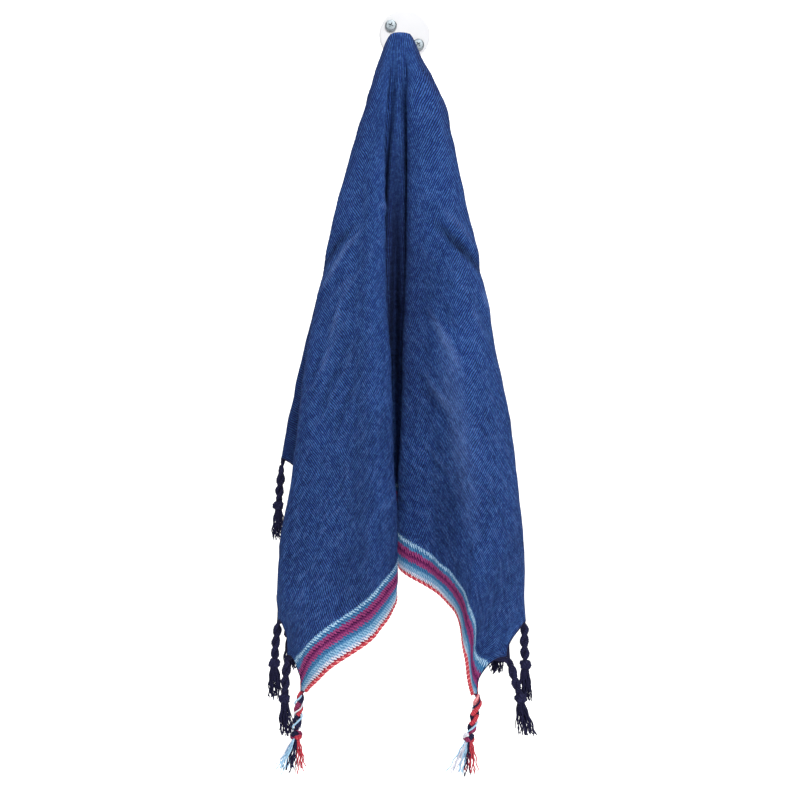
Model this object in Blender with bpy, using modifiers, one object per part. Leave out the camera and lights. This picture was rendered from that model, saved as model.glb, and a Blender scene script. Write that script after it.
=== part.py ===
"""A hand-woven washcloth with twisted tassels, hanging by its middle from a small wall hook.

Metres, +Z up. The origin is the middle of the hook plate's back face, which lies on the wall,
and the front of the cloth looks along -Y.
"""
from bisect import bisect
from collections import namedtuple
from math import asin, atan2, cos, degrees, hypot, pi, radians, sin, sqrt, tan

import bmesh
import bpy
import numpy as np
from mathutils import Matrix, Vector

MM = 0.001
GAP = 0.3                     # clear space kept between two pieces
MERGE = 0.01                  # points closer than this are one

# Cloth, laid flat: u runs along the striped edges, v across from the hanging point
FRINGE_U = 250.0              # hanging point to either tasselled edge
FRONT_V = 271.0               # hanging point to the front striped edge
BACK_V = 27.0                 # hanging point to the back striped edge
END_ANGLE = 90.0 + degrees(atan2(BACK_V, FRINGE_U))      # to a back corner, from the front
THICKNESS = 1.0

# Hook
PLATE_RADIUS = 14.7
PLATE_DEPTH = 4.0
PLATE_EDGE = 1.2              # rounding of the plate's front edge
PLATE_SIDES = 40
SHARP_ANGLE = radians(50)     # edges of the plate sharper than this are rounded
ARM_RADIUS = 2.8
# Bends of the arm's middle line: how far out from the wall, and at what height
ARM_BENDS = ((4.3, -10.9), (5.9, -10.9), (9.0, -14.6), (14.0, -21.4), (20.0, -24.2),
             (27.0, -25.0), (33.5, -23.2), (38.0, -19.6))
BALL_RADIUS = 5.5
BALL_GAP = 0.5                # under the cloth's underside
BALL_RINGS = 6
BALL_TOP = radians(10)        # the ball's flat top spans this angle either side

# Screws, as they lie in the plate: sideways and up from its middle
SCREW_PLACES = ((-7.8, 5.1), (7.9, -5.9))
SCREW_TURNS = (radians(25), radians(50))
SCREW_SIDES = 20
SCREW_SHANK_RADIUS = 1.7
SCREW_HOLE_RADIUS = 2.2
DRILL_LENGTH = 3 * PLATE_DEPTH
# Outline of the pan head: radius and height above the plate, from the middle out
SCREW_HEAD = ((0.0, 2.3), (2.6, 2.2), (3.1, 1.8), (3.35, 1.1), (3.4, 0.6), (3.4, 0.0))
RECESS_LENGTH = 3.6
RECESS_WIDTH = 0.8
RECESS_DEPTH = 1.3
RECESS_TAPER = 0.6            # the recess's bottom, as a part of its top

# The hanging point on top of the cloth, seen from the origin
TIP = Vector((-2.6, -40.0, -6.4))

# Tassels
TASSELS = 13                  # along either edge, with one near each corner
CORNER_INSET = 5.0            # the outer ones are rooted this far in from the striped edges
TASSEL_PITCH = (FRONT_V + BACK_V - 2 * CORNER_INSET) / (TASSELS - 1)
ROOT_GAP = 0.6                # from the cloth's edge to the cord
ROOT_LOOK = 4.0               # the cloth this far above the edge gives a tassel its direction
ROOT_RADIUS = 0.8
ROOT_PULL = 5.0               # how strongly the cord sets off in that direction
CORD_LENGTH = 20.0
CORD_RADIUS = 2.3
CORD_SIDES = 6
CORD_RINGS = 7
CORD_LOBES = 0.22             # depth of the twist, as a part of the cord's radius
TWIST_PER_RING = radians(50)
PATH_STEP = 0.01              # share of the cord over which its direction is taken
KNOT_LENGTH = 6.0
KNOT_RADIUS = 3.5
STRAND_LENGTH = 17.0
STRAND_UNEVEN = 0.14          # how much shorter the shortest strands are
GOLDEN_TURN = radians(137.5)  # spreads the short strands evenly among the long ones

# Rings of the knot: how far along it, the radius, and the depth of the twist there
Ring = namedtuple("Ring", "share radius lobes")
KNOT_RINGS = (
    Ring(0.0, 2.1, 0.10),
    Ring(0.35, KNOT_RADIUS, 0.05),
    Ring(0.75, KNOT_RADIUS, 0.05),
    Ring(1.0, 2.3, 0.0),
)
KNOT_DIMPLE = 0.6             # the strands part round a point this far below the knot
STRAND_STEPS = ((0.45, 0.85), (0.55, 0.5))       # part of its length, and how it narrows there

# How far the folded cloth reaches from the hanging point, by distance along the cloth
Reach = namedtuple("Reach", "distance left right front back")
REACHES = (
    Reach(0.0, 0.0, 0.0, 0.0, 0.0),
    Reach(7.0, 6.4, 6.6, 6.4, 6.9),
    Reach(20.0, 12.0, 12.6, 9.6, 19.6),
    Reach(32.0, 16.2, 18.2, 11.2, 29.5),
    Reach(55.0, 22.8, 26.0, 14.0, 32.5),
    Reach(101.0, 35.5, 36.6, 21.0, 33.0),
    Reach(170.0, 49.5, 51.0, 31.0, 33.5),
    Reach(250.0, 59.8, 65.0, 42.0, 33.5),
    Reach(305.0, 67.2, 69.8, 48.0, 33.5),
    Reach(333.0, 69.0, 71.5, 50.0, 33.5),
    Reach(375.0, 68.0, 71.5, 52.0, 33.5),
)

# One row for each fold line, from the back left edge round the front to the back right edge.
# angle: the line on the flat cloth, in degrees from the front middle.
# across and depth: its place in the section as a part of the reach, near the top, low down and
# at the hanging corners. A row without a place at the corners keeps its low one there.
Fold = namedtuple("Fold", "angle across_top depth_top across_low depth_low across_end depth_end",
                  defaults=(None, None))
FOLDS = (
    Fold(-END_ANGLE, -0.38, 0.98, -0.20, 0.98),
    Fold(-83.0, -0.66, 0.70, -1.18, 0.76),
    Fold(-72.2, -0.50, 0.44, -0.54, 0.54),
    Fold(-66.0, -0.90, 0.24, -0.98, 0.38),
    Fold(-58.0, -0.56, 0.04, -0.46, 0.17),
    Fold(-50.5, -0.94, -0.22, -1.00, -0.14, -0.96, -0.17),
    Fold(-43.9, -0.83, -0.58, -0.66, -0.46, -0.80, -0.76),
    Fold(-40.2, -0.68, -0.80, -0.42, -0.70, -0.59, -0.98),
    Fold(-35.5, -0.54, -0.94, -0.20, -0.98, -0.19, -1.04),
    Fold(-30.3, -0.40, -0.98, -0.02, -0.70, -0.07, -0.68),
    Fold(-14.8, -0.42, -0.10, -0.42, 0.66),
    Fold(-12.2, -0.27, 0.00, -0.30, 0.74),
    Fold(-5.8, -0.17, -0.22, -0.17, -0.02),
    Fold(-0.9, -0.07, -0.40, -0.06, 0.62),
    Fold(4.0, 0.05, -0.22, 0.04, -0.02),
    Fold(10.8, 0.18, 0.02, 0.26, 0.76),
    Fold(13.2, 0.35, -0.04, 0.38, 0.68),
    Fold(24.0, 0.19, -0.65, -0.03, -0.32, 0.40, -0.50),
    Fold(29.7, 0.34, -0.92, 0.26, -0.56, 0.42, -0.52),
    Fold(38.0, 0.74, -0.88, 0.58, -0.98, 0.48, -0.98),
    Fold(42.5, 0.90, -0.56, 0.82, -0.80, 0.54, -0.92),
    Fold(48.5, 1.00, -0.16, 0.96, -0.36, 0.94, -0.56),
    Fold(58.0, 0.52, 0.06, 0.44, 0.17),
    Fold(66.0, 0.96, 0.26, 0.92, 0.38),
    Fold(74.4, 0.48, 0.46, 0.50, 0.54),
    Fold(82.4, 0.76, 0.70, 1.00, 0.76),
    Fold(END_ANGLE, 0.34, 0.98, 0.16, 0.98),
)
LEFT_LOBE_FOLD = 9            # the front edge of the left lobe
RIGHT_LOBE_FOLD = 17          # where the right lobe comes out of the valley
FRONT_COLUMN = 13             # the ridge in the middle of the valley
CAP_START, CAP_END = 8.0, 42.0        # the round cap over the hook fades into the folds
LEAST_FALL = 0.2              # slope of the cap next to the hanging point
TOP_DISTANCE, LOW_DISTANCE = 40.0, 330.0
CORNER_START, CORNER_END = 285.0, 350.0          # the corners hang as the last columns say
ARCH_RADIUS = 5.8             # half width of the arch that the back edge makes over the arm
LOOP_FULLNESS = 1.0
FOLD_SHARES = (0.0, 0.14, 0.5, 0.86)  # columns between two folds, closer beside each fold
CAP_RINGS = (4.0, 8.0, 16.0, BACK_V)
ROW_SHARES = (0.01, 0.04, 0.09, 0.16, 0.25, 0.35, 0.45, 0.55, 0.65, 0.75, 0.84, 0.92, 1.0)


def smooth_step(t):
    t = np.clip(t, 0.0, 1.0)
    return t * t * (3.0 - 2.0 * t)


def smooth_column(distance, column):
    """Reads one column of REACHES at any distance, on a curve that never overshoots."""
    knots = np.array([row.distance for row in REACHES])
    values = np.array([getattr(row, column) for row in REACHES])
    steps = np.diff(knots)
    slopes = np.diff(values) / steps
    tangents = np.zeros(len(knots))
    tangents[0], tangents[-1] = slopes[0], slopes[-1]
    for i in range(1, len(knots) - 1):
        if slopes[i - 1] * slopes[i] > 0:
            before = 2 * steps[i] + steps[i - 1]
            after = steps[i] + 2 * steps[i - 1]
            tangents[i] = (before + after) / (before / slopes[i - 1] + after / slopes[i])
    distance = np.clip(distance, knots[0], knots[-1])
    i = np.clip(np.searchsorted(knots, distance) - 1, 0, len(steps) - 1)
    t = (distance - knots[i]) / steps[i]
    return ((1 + 2 * t) * (1 - t) ** 2 * values[i]
            + t * (1 - t) ** 2 * steps[i] * tangents[i]
            + t * t * (3 - 2 * t) * values[i + 1]
            + t * t * (t - 1) * steps[i] * tangents[i + 1])


def back_angle(distance):
    """Angle of the back striped edge at this distance, or of the seam behind the tip above it."""
    beyond = np.maximum(distance, BACK_V)
    return np.degrees(np.pi - np.arccos(BACK_V / beyond))


def fold_angle(index, distance):
    """Flat angle of a fold line; behind the lobes the lines spread as the back edge does."""
    fold = FOLDS[index]
    left, right = FOLDS[LEFT_LOBE_FOLD].angle, FOLDS[RIGHT_LOBE_FOLD].angle
    last = FOLDS[-1].angle
    limit = back_angle(np.minimum(distance, hypot(FRINGE_U, BACK_V)))
    if index < LEFT_LOBE_FOLD:
        return left + (fold.angle - left) * (limit + left) / (last + left)
    if index > RIGHT_LOBE_FOLD:
        return right + (fold.angle - right) * (limit - right) / (last - right)
    return fold.angle + 0.0 * distance


def fold_place(index, distance):
    """Sideways and depth place of a fold line at each distance along the cloth."""
    fold = FOLDS[index]
    folded = smooth_step((distance - CAP_START) / (CAP_END - CAP_START))
    way_down = np.clip((distance - TOP_DISTANCE) / (LOW_DISTANCE - TOP_DISTANCE), 0.0, 1.0)
    lowered = 1.0 - (1.0 - way_down) ** 2
    turn = np.radians(fold_angle(index, distance))
    across = fold.across_top + (fold.across_low - fold.across_top) * lowered
    depth = fold.depth_top + (fold.depth_low - fold.depth_top) * lowered
    if fold.across_end is not None:
        at_corner = smooth_step((distance - CORNER_START) / (CORNER_END - CORNER_START))
        across = across + (fold.across_end - across) * at_corner
        depth = depth + (fold.depth_end - depth) * at_corner
    if index in (0, len(FOLDS) - 1):
        along_edge = np.sqrt(np.maximum(distance ** 2 - BACK_V ** 2, 0.0))
        across = across * np.sin(np.minimum(along_edge / ARCH_RADIUS, pi / 2))
    else:
        across = np.sin(turn) + (across - np.sin(turn)) * folded
    depth = -np.cos(turn) + (depth + np.cos(turn)) * folded
    side = np.where(across < 0, smooth_column(distance, "left"), smooth_column(distance, "right"))
    toward = np.where(depth < 0, smooth_column(distance, "front"), smooth_column(distance, "back"))
    return np.stack([across * side, depth * toward], axis=-1)


def loop_factor(before, fold, after):
    """How much fuller than a plain curve the cloth turns where it doubles back on itself."""
    arriving, leaving = fold - before, after - fold
    lengths = np.linalg.norm(arriving, axis=-1) * np.linalg.norm(leaving, axis=-1)
    straight = np.sum(arriving * leaving, axis=-1) / np.maximum(lengths, 1e-9)
    return 1.0 + LOOP_FULLNESS * np.maximum(-straight, 0.0)[..., None]


def section_point(column, distance):
    """Place across and in depth of the column at this distance, on a curve through the folds."""
    last = len(FOLDS) - 1
    index = min(int(column), last - 1)
    t = column - index
    start, end = fold_place(index, distance), fold_place(index + 1, distance)
    before = fold_place(index - 1, distance) if index > 0 else 2 * start - end
    after = fold_place(index + 2, distance) if index + 2 <= last else 2 * end - start

    def knot(a, b):
        return np.sqrt(np.maximum(np.linalg.norm(b - a, axis=-1, keepdims=True), 1e-9))

    first, middle, final = knot(before, start), knot(start, end), knot(end, after)
    leave = middle * ((start - before) / first - (end - before) / (first + middle)
                      + (end - start) / middle) * loop_factor(before, start, end)
    arrive = middle * ((end - start) / middle - (after - start) / (middle + final)
                       + (after - end) / final) * loop_factor(start, end, after)
    return ((1 + 2 * t) * (1 - t) ** 2 * start + t * (1 - t) ** 2 * leave
            + t * t * (3 - 2 * t) * end + t * t * (t - 1) * arrive)


def column_angle(column, distance):
    index = min(int(column), len(FOLDS) - 2)
    t = column - index
    return fold_angle(index, distance) * (1 - t) + fold_angle(index + 1, distance) * t


def column_at(angle):
    """The column that meets the cloth's edge at this flat angle."""
    for index in range(len(FOLDS) - 1):
        start, end = FOLDS[index].angle, FOLDS[index + 1].angle
        if start <= angle <= end:
            return index + (angle - start) / (end - start)
    return 0.0 if angle < 0 else float(len(FOLDS) - 1)


def edge_distance(column):
    """Distance along the cloth at which a column meets the front or a tasselled edge."""
    index = min(int(column), len(FOLDS) - 2)
    t = column - index
    angle = radians(FOLDS[index].angle * (1 - t) + FOLDS[index + 1].angle * t)
    to_fringe = FRINGE_U / max(abs(sin(angle)), 1e-9)
    to_front = FRONT_V / cos(angle) if cos(angle) > 1e-9 else to_fringe
    return min(to_fringe, to_front)


def cloth_point(column, distance):
    """A point hangs as far from the hanging point as it lies from it on the flat cloth."""
    x, y = section_point(column, distance)
    fall_squared = max(distance ** 2 - x ** 2 - y ** 2, (LEAST_FALL * distance) ** 2)
    return TIP + Vector((x, y, -sqrt(fall_squared)))


def cloth_columns():
    """Columns at every fold and between folds, with one at each front corner."""
    last = len(FOLDS) - 1
    columns = [index + share for index in range(last) for share in FOLD_SHARES] + [last]
    corner = degrees(atan2(FRINGE_U, FRONT_V))
    for angle in (-corner, corner):
        exact = column_at(angle)
        nearest = min(range(len(columns)), key=lambda i: abs(columns[i] - exact))
        columns[nearest] = exact
    return columns


def build_cloth(collection, material):
    """The cloth's middle surface, a cap of rings that opens behind into folded rows."""
    bm = bmesh.new()
    columns = cloth_columns()
    apex = bm.verts.new(TIP * MM)
    rows = []
    for column in columns:
        end = edge_distance(column)
        distances = list(CAP_RINGS) + [BACK_V + (end - BACK_V) * share for share in ROW_SHARES]
        rows.append([cloth_point(column, distance) * MM for distance in distances])
    grid = [[bm.verts.new(point) for point in points] for points in rows[:-1]]
    closed = len(CAP_RINGS)
    grid.append(grid[0][:closed] + [bm.verts.new(point) for point in rows[-1][closed:]])
    for left, right in zip(grid[:-1], grid[1:]):
        bm.faces.new((apex, left[0], right[0]))
        for i in range(len(left) - 1):
            bm.faces.new((left[i], left[i + 1], right[i + 1], right[i]))
    bmesh.ops.recalc_face_normals(bm, faces=bm.faces)
    cloth = add_mesh("washcloth", bm, collection, material)
    shell = cloth.modifiers.new("Thickness", "SOLIDIFY")
    shell.thickness = THICKNESS * MM
    shell.offset = 0.0
    return cloth


def add_mesh(name, bm, collection, material, smooth=True):
    mesh = bpy.data.meshes.new(name)
    bm.to_mesh(mesh)
    bm.free()
    if smooth:
        mesh.shade_smooth()
    mesh.materials.append(material)
    piece = bpy.data.objects.new(name, mesh)
    collection.objects.link(piece)
    return piece


def add_material(name, colour, roughness, metallic=0.0):
    material = bpy.data.materials.new(name)
    material.use_nodes = True
    shader = material.node_tree.nodes["Principled BSDF"]
    shader.inputs["Base Color"].default_value = (*colour, 1.0)
    shader.inputs["Roughness"].default_value = roughness
    shader.inputs["Metallic"].default_value = metallic
    return material


# Tassels hang by name and number, from the front corner back. lean and away are how far the
# knot hangs sideways and in depth from its root, splay is where the loose ends drift, and
# spread is how far they open.
Hang = namedtuple("Hang", "lean away splay spread")
LEFT_HANGS = (
    Hang(-3.0, -2.0, -3.0, 3.8),
    Hang(-1.5, -2.0, 1.0, 1.8),
    Hang(-2.5, -1.0, 1.0, 1.8),
    Hang(0.0, 3.0, 0.0, 1.8),
    Hang(-4.0, -5.0, 0.0, 1.8),
    Hang(5.0, 3.0, 0.0, 1.8),
    Hang(3.0, -1.5, 0.0, 1.8),
    Hang(5.0, 1.0, 0.0, 1.8),
    Hang(3.0, 0.5, 0.0, 1.8),
    Hang(2.0, 1.5, 0.0, 1.8),
    Hang(-2.0, 1.0, 0.0, 1.8),
    Hang(1.0, 0.0, 0.0, 1.8),
    Hang(0.0, 0.0, 0.0, 2.4),
)
RIGHT_HANGS = (
    Hang(-5.5, -2.0, -3.0, 3.6),
    Hang(8.0, 0.0, 3.0, 3.0),
    Hang(0.5, 0.0, 0.0, 1.8),
    Hang(-1.0, 3.0, 0.0, 1.8),
    Hang(8.0, -4.0, 0.0, 1.8),
    Hang(7.0, 3.0, 0.0, 1.8),
    Hang(0.0, -2.0, 0.0, 1.8),
    Hang(-5.0, 0.5, 0.0, 1.8),
    Hang(-2.0, 1.0, 0.0, 1.8),
    Hang(0.0, 2.0, 0.0, 1.8),
    Hang(1.0, 1.0, 0.0, 1.8),
    Hang(-1.0, 0.0, 0.0, 1.8),
    Hang(0.0, 0.0, 0.0, 2.4),
)


def flat_height(column):
    """How far up or down the tasselled edge a column meets it, measured as v is."""
    index = min(int(column), len(FOLDS) - 2)
    t = column - index
    angle = FOLDS[index].angle * (1 - t) + FOLDS[index + 1].angle * t
    return FRINGE_U / tan(radians(abs(angle)))


def fringe_frame(side, number):
    """Point on the tasselled edge and the direction in which the cloth would run on there."""
    height = FRONT_V - CORNER_INSET - number * TASSEL_PITCH
    columns = [column for column in cloth_columns() if side * (column - FRONT_COLUMN) > 0]
    columns.sort(key=flat_height)
    upper = bisect([flat_height(column) for column in columns], height)
    a, b = columns[upper - 1], columns[upper]
    share = (height - flat_height(a)) / (flat_height(b) - flat_height(a))
    start, end = cloth_point(a, edge_distance(a)), cloth_point(b, edge_distance(b))
    root = start.lerp(end, share)
    inner = cloth_point(a, edge_distance(a) - ROOT_LOOK).lerp(
        cloth_point(b, edge_distance(b) - ROOT_LOOK), share)
    ray = (root - inner).normalized()
    along = (end - start).normalized()
    return root, (ray - along * ray.dot(along)).normalized()


def tassel_path(root, outward, hang):
    """Middle line of the cord: out of the cloth's edge, then down to the knot."""
    length = CORD_LENGTH + KNOT_LENGTH
    start = root + outward * ROOT_GAP
    end = start + Vector((hang.lean, hang.away, -length)).normalized() * length

    def point(share):
        return start.lerp(end, share) + outward * ROOT_PULL * share * (1 - share) ** 2

    return point


def tassel_rings():
    """Rings of the whole tassel as shares of its cord and knot, thin where it leaves the cloth."""
    cord = CORD_LENGTH / (CORD_LENGTH + KNOT_LENGTH)
    rings = [Ring(cord * i / CORD_RINGS, CORD_RADIUS, CORD_LOBES) for i in range(CORD_RINGS)]
    rings[0] = Ring(0.0, ROOT_RADIUS, 0.0)
    rings[1] = rings[1]._replace(radius=(ROOT_RADIUS + CORD_RADIUS) / 2)
    return rings + [ring._replace(share=cord + (1 - cord) * ring.share) for ring in KNOT_RINGS]


def build_tassel(name, root, outward, hang, collection, material):
    """A twisted cord with a knot, and loose ends grown from the knot's underside."""
    path = tassel_path(root, outward, hang)
    bm = bmesh.new()
    rings = []
    for i, ring in enumerate(tassel_rings()):
        centre = path(ring.share)
        direction = (path(ring.share + PATH_STEP) - path(ring.share - PATH_STEP)).normalized()
        if i == 0:
            direction = outward
        across = direction.cross(Vector((0.0, 1.0, 0.0))).normalized()
        other = direction.cross(across)
        verts = []
        for k in range(CORD_SIDES):
            turn = 2 * pi * k / CORD_SIDES + min(i, CORD_RINGS) * TWIST_PER_RING
            reach = ring.radius * (1 + ring.lobes * (1 if k % 2 else -1))
            spot = centre + across * cos(turn) * reach + other * sin(turn) * reach
            verts.append(bm.verts.new(spot * MM))
        rings.append(verts)
    bm.faces.new(rings[0])
    bands = []
    for upper, lower in zip(rings[:-1], rings[1:]):
        following = [(k + 1) % CORD_SIDES for k in range(CORD_SIDES)]
        bands.append([bm.faces.new((upper[k], lower[k], lower[n], upper[n]))
                      for k, n in enumerate(following)])
    dimple = bm.verts.new((path(1.0) - Vector((0.0, 0.0, KNOT_DIMPLE))) * MM)
    bottom = [bm.faces.new((rings[-1][k], dimple, rings[-1][(k + 1) % CORD_SIDES]))
              for k in range(CORD_SIDES)]
    bmesh.ops.recalc_face_normals(bm, faces=bm.faces)
    knot = path(1.0) * MM
    for number, face in enumerate(bottom + bands[-1][::2]):
        grow_strand(bm, face, knot, hang, number)
    return add_mesh(name, bm, collection, material)


def grow_strand(bm, face, knot, hang, number):
    """Draws a face out into one loose end in two lengths."""
    away = (face.calc_center_median() - knot) / (KNOT_RADIUS * MM)
    away.z = 0.0
    drift = away * hang.spread + Vector((hang.splay, 0.0, 0.0))
    length = STRAND_LENGTH * (1 - STRAND_UNEVEN * (1 - sin(number * GOLDEN_TURN)) / 2)
    for share, narrowing in STRAND_STEPS:
        move = (drift - Vector((0.0, 0.0, length))) * share * MM
        grown = bmesh.ops.extrude_discrete_faces(bm, faces=[face])["faces"][0]
        centre = grown.calc_center_median()
        for vert in grown.verts:
            vert.co = centre + move + (vert.co - centre) * narrowing
        face = grown


def build_tassels(collection, plain, striped):
    for side_name, side, hangs in (("left", -1, LEFT_HANGS), ("right", 1, RIGHT_HANGS)):
        for number in range(TASSELS):
            root, outward = fringe_frame(side, number)
            at_corner = number in (0, TASSELS - 1)
            build_tassel(f"tassel_{side_name}_{number + 1:02d}", root, outward, hangs[number],
                         collection, striped if at_corner else plain)


def add_cutter(name, bm, cutters):
    mesh = bpy.data.meshes.new(name)
    bm.to_mesh(mesh)
    bm.free()
    cutter = bpy.data.objects.new(name, mesh)
    cutter.hide_render = True
    cutter.display_type = "WIRE"
    cutters.objects.link(cutter)
    return cutter


def cut(target, cutter):
    boolean = target.modifiers.new(cutter.name, "BOOLEAN")
    boolean.operation = "DIFFERENCE"
    boolean.solver = "EXACT"
    boolean.object = cutter


def disc(radius, depth, sides):
    """A round plate or bore whose axis runs out from the wall, centred on its origin."""
    bm = bmesh.new()
    bmesh.ops.create_cone(bm, cap_ends=True, segments=sides, radius1=radius * MM,
                          radius2=radius * MM, depth=depth * MM)
    bmesh.ops.rotate(bm, verts=bm.verts, matrix=Matrix.Rotation(radians(90), 3, "X"))
    return bm


def build_plate(collection, cutters, material):
    middle = -PLATE_DEPTH / 2 * MM
    plate = add_mesh("hook_plate", disc(PLATE_RADIUS, PLATE_DEPTH, PLATE_SIDES), collection,
                     material, smooth=False)
    plate.location = (0.0, middle, 0.0)
    for number, (x, z) in enumerate(SCREW_PLACES, start=1):
        bore = disc(SCREW_HOLE_RADIUS, DRILL_LENGTH, SCREW_SIDES)
        drill = add_cutter(f"screw_hole_{number}", bore, cutters)
        drill.location = (x * MM, middle, z * MM)
        cut(plate, drill)
    edge = plate.modifiers.new("Rounded edge", "BEVEL")
    edge.width = PLATE_EDGE * MM
    edge.segments = 2
    edge.limit_method = "ANGLE"
    edge.angle_limit = SHARP_ANGLE
    return plate


def build_arm(collection, material):
    """A bent arm with a ball at its tip, one tube whose radius swells to make the ball."""
    ball = TIP + Vector((0.0, 0.0, -(THICKNESS / 2 + BALL_GAP + BALL_RADIUS)))
    stations = [(Vector((TIP.x, -out, height)), ARM_RADIUS) for out, height in ARM_BENDS]
    neck = pi - asin(ARM_RADIUS / BALL_RADIUS)
    for i in range(BALL_RINGS + 1):
        turn = neck + (BALL_TOP - neck) * i / BALL_RINGS
        place = ball + Vector((0.0, 0.0, BALL_RADIUS * cos(turn)))
        stations.append((place, BALL_RADIUS * sin(turn)))
    curve = bpy.data.curves.new("hook_arm", "CURVE")
    curve.dimensions = "3D"
    curve.bevel_depth = MM
    curve.bevel_resolution = 3
    curve.use_fill_caps = True
    spline = curve.splines.new("POLY")
    spline.points.add(len(stations) - 1)
    for point, (place, radius) in zip(spline.points, stations):
        point.co = (*(place * MM), 1.0)
        point.radius = radius
    curve.materials.append(material)
    arm = bpy.data.objects.new("hook_arm", curve)
    collection.objects.link(arm)
    return arm


def build_recess(number, cutters):
    """Two crossed bars that narrow downwards, as deep below the head's top as above it."""
    bm = bmesh.new()
    for size in ((RECESS_LENGTH, RECESS_WIDTH), (RECESS_WIDTH, RECESS_LENGTH)):
        for vert in bmesh.ops.create_cube(bm, size=1.0)["verts"]:
            taper = RECESS_TAPER if vert.co.z < 0 else 1.0
            vert.co = Vector((vert.co.x * size[0] * taper, vert.co.y * size[1] * taper,
                              vert.co.z * 2 * RECESS_DEPTH)) * MM
    return add_cutter(f"recess_{number}", bm, cutters)


def build_screw(number, place, turn, collection, cutters, material):
    """A pan-head screw with a cross recess; its shank ends flush with the plate's back."""
    seat = PLATE_DEPTH + GAP
    profile = SCREW_HEAD + ((SCREW_SHANK_RADIUS, 0.0), (SCREW_SHANK_RADIUS, -seat), (0.0, -seat))
    bm = bmesh.new()
    verts = [bm.verts.new((radius * MM, 0.0, height * MM)) for radius, height in profile]
    for upper, lower in zip(verts[:-1], verts[1:]):
        bm.edges.new((upper, lower))
    screw = add_mesh(f"screw_{number}", bm, collection, material)
    turned = screw.modifiers.new("Turned", "SCREW")
    turned.steps = SCREW_SIDES
    turned.render_steps = SCREW_SIDES
    turned.use_merge_vertices = True
    turned.merge_threshold = MERGE * MM
    turned.use_normal_calculate = True
    screw.location = (place[0] * MM, -seat * MM, place[1] * MM)
    screw.rotation_euler = (radians(90), turn, 0.0)
    bpy.context.view_layer.update()
    cross = build_recess(number, cutters)
    cross.matrix_world = screw.matrix_world @ Matrix.Translation((0.0, 0.0, SCREW_HEAD[0][1] * MM))
    cut(screw, cross)
    screw.modifiers[-1].use_self = True
    return screw


def main():
    for piece in list(bpy.data.objects):
        bpy.data.objects.remove(piece, do_unlink=True)
    scene = bpy.context.scene
    parts = bpy.data.collections.new("washcloth_on_wall_hook")
    cutters = bpy.data.collections.new("cutters")
    scene.collection.children.link(parts)
    scene.collection.children.link(cutters)
    blue = add_material("blue_cotton_weave", (0.022, 0.062, 0.240), 0.9)
    navy = add_material("navy_cotton_yarn", (0.008, 0.012, 0.040), 0.9)
    mixed = add_material("red_white_blue_yarn", (0.450, 0.060, 0.080), 0.9)
    white = add_material("white_enamel", (0.800, 0.800, 0.790), 0.35)
    zinc = add_material("zinc_plated_steel", (0.560, 0.580, 0.600), 0.3, 1.0)
    build_cloth(parts, blue)
    build_tassels(parts, navy, mixed)
    build_plate(parts, cutters, white)
    build_arm(parts, white)
    for number, (place, turn) in enumerate(zip(SCREW_PLACES, SCREW_TURNS), start=1):
        build_screw(number, place, turn, parts, cutters, zinc)


main()
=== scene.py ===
import functools
import math

import bpy
import mathutils
import numpy as np
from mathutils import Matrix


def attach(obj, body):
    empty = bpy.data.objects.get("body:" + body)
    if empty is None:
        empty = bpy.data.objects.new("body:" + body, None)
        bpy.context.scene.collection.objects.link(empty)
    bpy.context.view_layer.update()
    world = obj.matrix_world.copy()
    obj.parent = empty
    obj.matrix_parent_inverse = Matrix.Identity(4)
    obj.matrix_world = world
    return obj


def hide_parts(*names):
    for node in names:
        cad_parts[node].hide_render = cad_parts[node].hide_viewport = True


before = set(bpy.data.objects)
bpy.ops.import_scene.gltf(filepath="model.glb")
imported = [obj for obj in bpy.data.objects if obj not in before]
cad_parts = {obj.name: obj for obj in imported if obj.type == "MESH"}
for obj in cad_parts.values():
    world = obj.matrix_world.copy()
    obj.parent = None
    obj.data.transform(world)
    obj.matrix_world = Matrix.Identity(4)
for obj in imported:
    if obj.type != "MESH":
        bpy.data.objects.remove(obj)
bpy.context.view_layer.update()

mm = 0.001               # every length is in mm, unless a comment says otherwise


# The camera looks level at the cloth's front, a metre from its hanging point
cameraSettings = {
    "place": (-2.6, -1040.0, -210.3),
    "view": 25.06,  # degrees across the square picture
}


def setCamera():
    data = bpy.data.cameras.new("camera")
    data.angle = math.radians(cameraSettings["view"])
    camera = bpy.data.objects.new("camera", data)
    camera.location = [side * mm for side in cameraSettings["place"]]
    camera.rotation_euler = (math.radians(90), 0.0, 0.0)
    bpy.context.collection.objects.link(camera)
    bpy.context.scene.camera = camera


setCamera()
print("camera set")


# The cloth laid flat: u runs along the striped edges, v across them, both from the hanging point
cloth = {
    "fringeU": 250.0,  # hanging point to either tasselled edge
    "frontV": 271.0,  # hanging point to the front striped edge
    "backV": 27.0,  # hanging point to the back striped edge
    "tip": (-2.6, -40.0, -6.4),  # the hanging point, over the hook's ball
    "thickness": 0.9,
    "cellsU": 280,  # mesh squares along and across the cloth, about 1.8 mm each
    "cellsV": 166,
    "archRadius": 5.8,  # half width of the arch behind the hook's ball
    "cap": (8.0, 42.0),  # the round cap over the hook fades into the folds between these
    "lowering": (40.0, 330.0),  # folds change from their top to their low place between these
    "corners": (285.0, 350.0),  # and to their place at the hanging corners between these
    "leastFall": 0.2,  # a point hangs at least this share of its distance lower
    "leftLobe": 9,  # fold line at the front edge of the left lobe
    "rightLobe": 17,  # and where the right lobe comes out of the valley
}

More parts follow.
